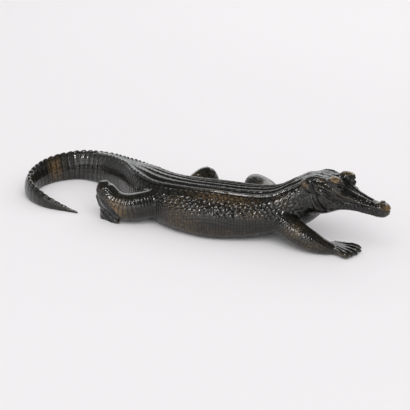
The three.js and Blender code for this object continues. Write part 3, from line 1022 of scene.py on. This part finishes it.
# Strokes on the left of the head, mirrored on its right: the points, the width, and how far raised or cut
HEAD_STROKES = [
    # mouth
    (
        [
            (18, 17, 51.6),
            (22.8, 16, 50.4),
            (27.6, 14.4, 47.2),
            (32.5, 12, 43.8),
            (36.5, 10.4, 42.8),
            (41, 9.6, 42.6),
        ],
        0.9,
        -1.4,
    ),
    (
        [
            (41, 9.6, 42.6),
            (46, 8.4, 42.4),
            (53, 7.2, 40.8),
            (60, 6.6, 41.6),
            (67, 6.6, 40.4),
            (73, 4, 40.6),
            (75.4, 0, 40.6),
        ],
        0.6,
        -0.8,
    ),
    # rim of the lower jaw
    ([(16, 17.2, 49.4), (21.4, 16, 46.8), (25.6, 14.4, 43.4), (31, 11.8, 40.4)], 1.6, 1.3),
    # cheek
    (
        [
            (15, 17.4, 55.4),
            (20, 16.4, 54.2),
            (24, 15.8, 53.2),
            (28, 14.8, 52.2),
            (32, 13.4, 51.2),
            (35.5, 11.8, 49.4),
            (37.6, 10.8, 47.4),
        ],
        1.7,
        1.7,
    ),
    ([(37.6, 10.4, 48.8), (42, 9.2, 47.4), (45.6, 8.8, 46), (52.6, 7.8, 44.2), (60, 7, 43)], 1.0, 0.9),
    ([(33, 12.6, 47.4), (37, 11, 45.6), (43, 9.6, 44.8)], 0.8, -0.7),
    # behind the jaw
    (
        [
            (9, 17.4, 56),
            (11.5, 17.6, 50.5),
            (13.5, 17.6, 45.5),
            (16, 17.6, 40.5),
            (19.5, 16, 35.5),
            (23, 12.5, 31),
        ],
        1.9,
        -1.9,
    ),
    ([(2, 16.6, 54), (6.4, 17.4, 50.6), (9.6, 17.4, 46), (12.6, 17.6, 40.6), (16, 16.4, 34.5)], 1.3, 1.0),
    # streak by the ear
    ([(0, 16, 49.6), (4.6, 16.8, 52), (8, 17, 54), (12, 16.6, 55.8)], 0.9, 0.9),
    # upper lid, and the grooves under it and under the eye
    ([(26, 13.2, 61), (30.1, 13.4, 60.2), (33.7, 11.4, 59.2), (36.4, 8.4, 56.6)], 0.9, 1.0),
    ([(24.6, 15, 57), (28, 14.8, 57.4), (31.6, 14, 57.3), (35, 12, 56.6), (37.4, 9.6, 54.4)], 1.0, -1.1),
    ([(27, 15.2, 54.6), (31, 14.2, 53), (35.4, 12.4, 51.8), (38, 10.4, 52)], 0.7, -0.9),
    # under the edge of the skull
    ([(4, 16.6, 57.4), (12, 16.4, 57.6), (20, 15.4, 57.8)], 1.6, -1.2),
    # edge of the skull, and the grooves and folds along its top
    ([(-12, 10, 52.4), (-3, 12, 56), (5, 13.8, 60), (12, 13.2, 61), (18, 12, 60.8), (24, 12.2, 61)], 0.9, 1.1),
    ([(-12, 8, 53.6), (-3, 9.4, 57.4), (6, 10, 60), (14, 9, 60.8), (21, 8, 60.4)], 1.1, -1.3),
    ([(-10, 6.2, 56), (0, 7, 60), (9, 6.2, 61), (18, 4.6, 60.8)], 0.9, 0.9),
    ([(-10, 3.8, 56.6), (0, 4.2, 59.6), (9, 3.6, 60.6), (18, 2.6, 60.4), (27, 3.4, 58.6)], 1.0, -1.2),
    ([(-8, 1.4, 57.6), (4, 1.4, 60.4), (14, 0.6, 61), (24, 0, 59.6)], 0.9, 0.7),
    # bridge of the snout
    ([(33, 5.6, 56.4), (40, 4.2, 52.6), (50, 3.2, 49.2), (58, 2.6, 46.8)], 0.9, 1.0),
    ([(32, 2.4, 56.4), (40, 1.6, 52.6), (50, 0, 49.2), (58, 0, 46.8)], 1.2, -1.0),
    ([(36, 7.6, 54), (44, 6.2, 50), (52, 5.2, 47.4), (60, 4.6, 45.4)], 1.0, -0.8),
    # between temple and brow
    ([(22, 3, 60.5), (22.6, 8, 61.5), (22, 13, 60)], 1.1, -0.8),
    # nostril, and the crease behind the tip of the snout
    ([(67, 2.6, 47), (69, 2.9, 46.4)], 0.8, -1.0),
    ([(61.5, 0, 46), (62, 4, 45.4), (64, 6.4, 43)], 1.2, -0.5),
]


def stroke_distance(spots, line):
    away = np.full(len(spots), FAR)
    for start, end in zip(line, line[1:]):
        span = end - start
        t = np.clip((spots - start) @ span / max(span @ span, 1e-9), 0, 1)
        away = np.minimum(away, np.linalg.norm(spots - start - t[:, None] * span, axis=1))
    return away


def chase_head(spots):
    """The head's relief: mottled skin, and the creases and rims laid along strokes."""
    x, y, z = spots.T
    edge, lean = scales(x + z * 0.4, y + z * 0.8, HEAD_MOTTLING, 0.7, seed=41)
    relief = 0.28 * ease(0, 0.8, edge) + 0.12 * lean - 0.14
    mirrored = on_left_side(spots)
    for points, wide, deep in HEAD_STROKES:
        line = smooth_points(points, np.linspace(0, 1, STROKE_POINTS))
        low_corner, high_corner = line.min(0) - 3 * wide, line.max(0) + 3 * wide
        about = np.all((mirrored > low_corner) & (mirrored < high_corner), axis=1)
        away = stroke_distance(mirrored[about], line)
        relief[about] += deep * np.exp(-((away / wide) ** 2))
    return relief


# Places worn or rubbed brown, in the rows' frame: the middle, the reach along each axis, and how worn
WORN = [
    ((18, -25, 35), (32, 9, 7), 0.55),  # under the ridges
    ((-22, -30, 26), (14, 8, 7), 0.4),
    ((44, -32, 25), (14, 8, 7), 0.35),
    ((-15, -36, 12), (26, 10, 14), 0.5),  # flank by the hip
    ((20, -38, 6), (45, 10, 7), 0.35),  # foot of the flank
    ((-80, -34, 14), (15, 9, 10), 0.7),  # calf
    ((-99, -29, 29), (8, 7, 8), 0.3),  # heel
    ((83, -34, 17), (9, 8, 6), 0.55),  # upper arm
    ((98, -38, 8), (13, 8, 6), 0.35),  # forearm
    ((122, -36, 2), (10, 6, 3), 0.5),  # outer toes
    ((84, -17, 52), (7, 5, 3), 0.7),  # behind the skull
    ((66, -20, 38), (10, 8, 9), 0.35),  # neck
    ((-181, 48, 13), (7, 9, 11), 0.75),  # inside of the tail's bend
    ((-5, 30, 24), (30, 10, 12), 0.35),  # far flank
    ((40, 30, 30), (16, 10, 8), 0.4),
    ((-38, 40, 24), (12, 12, 8), 0.45),
]
# The same on the left of the head, in its own frame, mirrored on its right; the lid's entry is a painted
# highlight
WORN_AND_GLINT_HEAD = [
    ((28, 9.6, 61.6), (6.5, 4.6, 2.2), 1.0),  # brow
    # lid: bare bronze as a painted highlight along its rim, where the lid glints
    ((31.5, 12.6, 60), (5, 3, 1.4), 0.9),  # lid
    ((6, 16.8, 53), (6, 1.8, 1.2), 0.5),  # streak by the ear
    ((33, 13.2, 51), (6, 3, 1.6), 0.35),  # cheek
    ((74, 0, 43), (4, 6, 3.4), 1.0),  # tip of the snout
    ((66, 2.6, 46.5), (5, 3.5, 2), 0.6),  # nostrils
    ((20, 14, 58), (7, 4, 3), 0.45),  # temple
    ((36, 11, 46), (14, 5, 2.5), 0.3),  # upper jaw
]
# Places darkened with painted shade, in the rows' frame
PAINTED_SHADE = [
    ((122, -22, 5), (8, 8, 4), 0.5),  # back of the near forefoot
    ((-76, -26, 1), (9, 8, 4), 0.6),  # under the near calf
    ((98, -14, 24), (16, 12, 9), 0.4),  # throat
]
# Places given a painted sheen: a paler grey standing in for the room's reflection on the inside of the tail's
# bow
PAINTED_SHEEN_PLACES = [
    ((-140, 68, 20), (34, 22, 16), 0.9),  # inside of the tail's bow
    ((-100, 54, 24), (26, 18, 16), 0.7),
]


# How strongly each spot lies in a list of places: rubbed ones, and those of painted shade and painted sheen
def patches_at(spots, places):
    patches = np.zeros(len(spots))
    for middle, reach, strength in places:
        away = (((spots - middle) / reach) ** 2).sum(1)
        patches = np.maximum(patches, strength * np.exp(-away * 0.8))
    return patches


# Chasing the whole skin
FAR_OUTSIDE = 50.0  # of a form, so that it has no say in a spot's relief
SEAM_WIDTH = 0.7  # over which one form's relief gives way to the next one's
PAW_SET_BACK = 1.6  # how far a paw has the say beyond its own points
HEAD_START = -12  # in the head's frame


def limb_relief(run, spots, reach, relief_at):
    """How far outside a limb spots are, and its relief, both worked out only for the spots about it."""
    low_corner = (run.centre - run.radius[:, None]).min(0) - reach
    high_corner = (run.centre + run.radius[:, None]).max(0) + reach
    about = np.all((spots > low_corner) & (spots < high_corner), axis=1)
    outside, relief = np.full(len(spots), FAR_OUTSIDE), np.zeros(len(spots))
    along, round_it, outside[about] = limb_places(run, spots[about])
    relief[about] = relief_at(along, round_it, run)
    return outside, relief


def form_reliefs(spots, head_spots):
    """For each form of the animal, how far outside it spots are, and its relief there."""
    trunk = section_run(TRUNK, 1)
    along, girth, outside, i = section_places(trunk, spots)
    reliefs = [(outside, chase_trunk(trunk, along, girth, i, spots[:, 2]))]

    skull_outside = section_places(section_run(SKULL, 1), head_spots)[2]
    jaw_outside = section_places(section_run(LOWER_JAW, 1), head_spots)[2]
    outside = np.where(head_spots[:, 0] > HEAD_START, np.minimum(skull_outside, jaw_outside), FAR_OUTSIDE)
    reliefs.append((outside, chase_head(head_spots)))

    for seed, (name, row) in enumerate(LEGS.items(), 50):
        relief_at = partial(chase_leg, seed=seed, banded=float(name.startswith("hindleg")))
        reliefs.append(limb_relief(limb_run(row, 1), spots, 6, relief_at))

    pads = chase_pads(spots)
    for foot in FEET.values():
        paw = np.array(paw_rings(foot, 16, 8)).reshape(-1, 3)
        away = np.linalg.norm(spots - paw[nearest(spots, paw)], axis=1)
        reliefs.append((away - PAW_SET_BACK, pads))
        for row in toe_stations(foot):
            reliefs.append(limb_relief(limb_run(row, 0.6), spots, 3, chase_toe))
    return reliefs


def chase(skin):
    """Cuts the relief into the skin, and keeps for the material how far each spot stands out less its painted
    shade, how rubbed it is with the lids' painted highlight, and its painted sheen.
    """
    spots = coordinates(skin) / MM
    head_spots = to_head_frame(spots)
    outsides, reliefs = (np.array(values) for values in zip(*form_reliefs(spots, head_spots)))
    shares = np.exp(-(outsides - outsides.min(0)) / SEAM_WIDTH)
    shares /= shares.sum(0)
    relief = (shares * reliefs).sum(0)
    sole_relief, sole = chase_sole(spots)
    relief = (relief * (1 - 0.7 * sole) + sole_relief) * ease(0.05, 1.2, spots[:, 2])
    spots = spots + normals(skin) * relief[:, None]
    spots[:, 2] = np.maximum(spots[:, 2], 0)
    place_vertices(skin, spots * MM)

    fine, broad = swelling(skin, 5), swelling(skin, 30)
    # Darker in the grooves, as the patina gathers there, and painted shade over the broad creases between the
    # limbs and the body
    raised_less_shade = 0.5 + 1.1 * relief + 2.2 * np.clip(fine, -0.25, 0.25) + 0.4 * np.clip(broad, -0.9, 0.9)
    # Painted shade: the sole, the throat, the underside of the near calf and the back of the near forefoot are
    # made darker
    raised_less_shade -= np.maximum(patches_at(spots, PAINTED_SHADE), 0.8 * sole)
    worn_and_glint = np.maximum(patches_at(spots, WORN), patches_at(on_left_side(head_spots), WORN_AND_GLINT_HEAD))
    keep_values(skin, "raised_less_shade", np.clip(raised_less_shade, 0, 1))
    keep_values(skin, "worn_and_glint", worn_and_glint * (1 - sole))
    keep_values(skin, "painted_sheen", patches_at(spots, PAINTED_SHEEN_PLACES))


# The bronze
MIX_FIRST = 6  # the Mix node's sockets for colours
MIX_SECOND = 7
MIX_RESULT = 2


def add_node(nodes, kind, **settings):
    node = nodes.new(kind)
    for key, value in settings.items():
        setattr(node, key, value)
    return node


def bronze():
    """Near-black patina, darker in grooves and with painted shade in creases and under parts, a painted sheen
    of paler grey on the inside of the tail's bow, brown where hands rub it, and bare gold-brown on rubbed
    places and as a painted highlight on the lids.
    """
    material, shader = new_material("bronze with dark patina")
    nodes, links = material.node_tree.nodes, material.node_tree.links
    place = add_node(nodes, "ShaderNodeTexCoord").outputs["Object"]

    def kept(name):
        return add_node(nodes, "ShaderNodeAttribute", attribute_name=name).outputs["Fac"]

    def noise(size_mm, detail, rough=0.6):
        texture = add_node(nodes, "ShaderNodeTexNoise")
        set_inputs(texture, {"Scale": 1 / (size_mm * MM), "Detail": detail, "Roughness": rough})
        links.new(place, texture.inputs["Vector"])
        return texture.outputs["Fac"]

    def ranged(value, start, end, low=0.0, high=1.0):
        node = add_node(nodes, "ShaderNodeMapRange", interpolation_type="SMOOTHSTEP")
        set_inputs(node, {"From Min": start, "From Max": end, "To Min": low, "To Max": high})
        links.new(value, node.inputs["Value"])
        return node.outputs["Result"]

    def product(first, second):
        node = add_node(nodes, "ShaderNodeMath", operation="MULTIPLY")
        links.new(first, node.inputs[0])
        links.new(second, node.inputs[1])
        return node.outputs["Value"]

    def mixed(share, first, second):
        node = add_node(nodes, "ShaderNodeMix", data_type="RGBA")
        links.new(share, node.inputs["Factor"])
        for socket, colour in ((node.inputs[MIX_FIRST], first), (node.inputs[MIX_SECOND], second)):
            if isinstance(colour, tuple):
                socket.default_value = (*colour, 1)
            else:
                links.new(colour, socket)
        return node.outputs[MIX_RESULT]

    raised_less_shade, worn_and_glint, painted_sheen = kept("raised_less_shade"), kept("worn_and_glint"), kept("painted_sheen")
    mottle = noise(2.6, 4, 0.65)
    patina = mixed(ranged(noise(22, 3), 0.38, 0.62), COLD_PATINA, WARM_PATINA)
    patina = mixed(ranged(mottle, 0.45, 0.75), patina, MOTTLING)
    # Painted sheen: a paler grey for the reflection on the inside of the tail's bow
    sheen_share = product(ranged(painted_sheen, 0, 1), ranged(noise(4, 3), 0.3, 0.6, 0.4, 1))
    patina = mixed(sheen_share, patina, PAINTED_SHEEN_GREY)
    # Black where the grooves' patina gathers, and painted shade in creases and under parts
    grooved_and_shaded = mixed(ranged(raised_less_shade, 0.15, 0.85), GROOVE_AND_SHADE_BLACK, patina)
    brown_share = product(ranged(worn_and_glint, 0.05, 0.75), ranged(mottle, 0.38, 0.58, 0.15, 1))
    brown_share = product(brown_share, ranged(raised_less_shade, 0.2, 0.7, 0.2, 1))
    brown = mixed(brown_share, grooved_and_shaded, RUBBED_BROWN)
    # Bare bronze on rubbed places, and as a painted highlight on the lids
    bare_and_glint_share = product(ranged(worn_and_glint, 0.5, 1.1), ranged(raised_less_shade, 0.45, 0.9))
    bare_and_glint_share = product(bare_and_glint_share, ranged(mottle, 0.38, 0.58))
    links.new(mixed(bare_and_glint_share, brown, BARE_BRONZE_AND_GLINT), shader.inputs["Base Color"])
    links.new(ranged(bare_and_glint_share, 0, 1, 0.15, 0.95), shader.inputs["Metallic"])
    dull = product(ranged(raised_less_shade, 0.2, 0.8, 1.7, 1.0), ranged(noise(6, 3), 0.35, 0.7, 0.12, 0.22))
    links.new(dull, shader.inputs["Roughness"])
    set_inputs(shader, {"Specular IOR Level": 0.4, "Coat Weight": 0.3, "Coat Roughness": 0.1})
    pits = add_node(nodes, "ShaderNodeBump")
    set_inputs(pits, {"Strength": 0.3, "Distance": 0.12 * MM})
    links.new(noise(0.9, 3), pits.inputs["Height"])
    links.new(pits.outputs["Normal"], shader.inputs["Normal"])
    return material


# The statue
def crocodile():
    soft_forms = trunk_forms() + head_forms() + leg_forms() + paw_forms()
    skin = joined_skin(soft_forms, toe_forms() + crest_forms() + face_forms())
    chase(skin)
    triangles = sum(len(face.vertices) - 2 for face in skin.data.polygons)
    apply_modifier(skin, "DECIMATE", ratio=min(1, SKIN_TRIANGLES / triangles), use_collapse_triangulate=True)
    skin.data.materials.clear()
    skin.data.materials.append(bronze())
    only(skin)
    bpy.ops.object.shade_smooth()
    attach(skin, "root")
    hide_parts("crocodile")


add_camera()
light_studio()
add_floor()
crocodile()
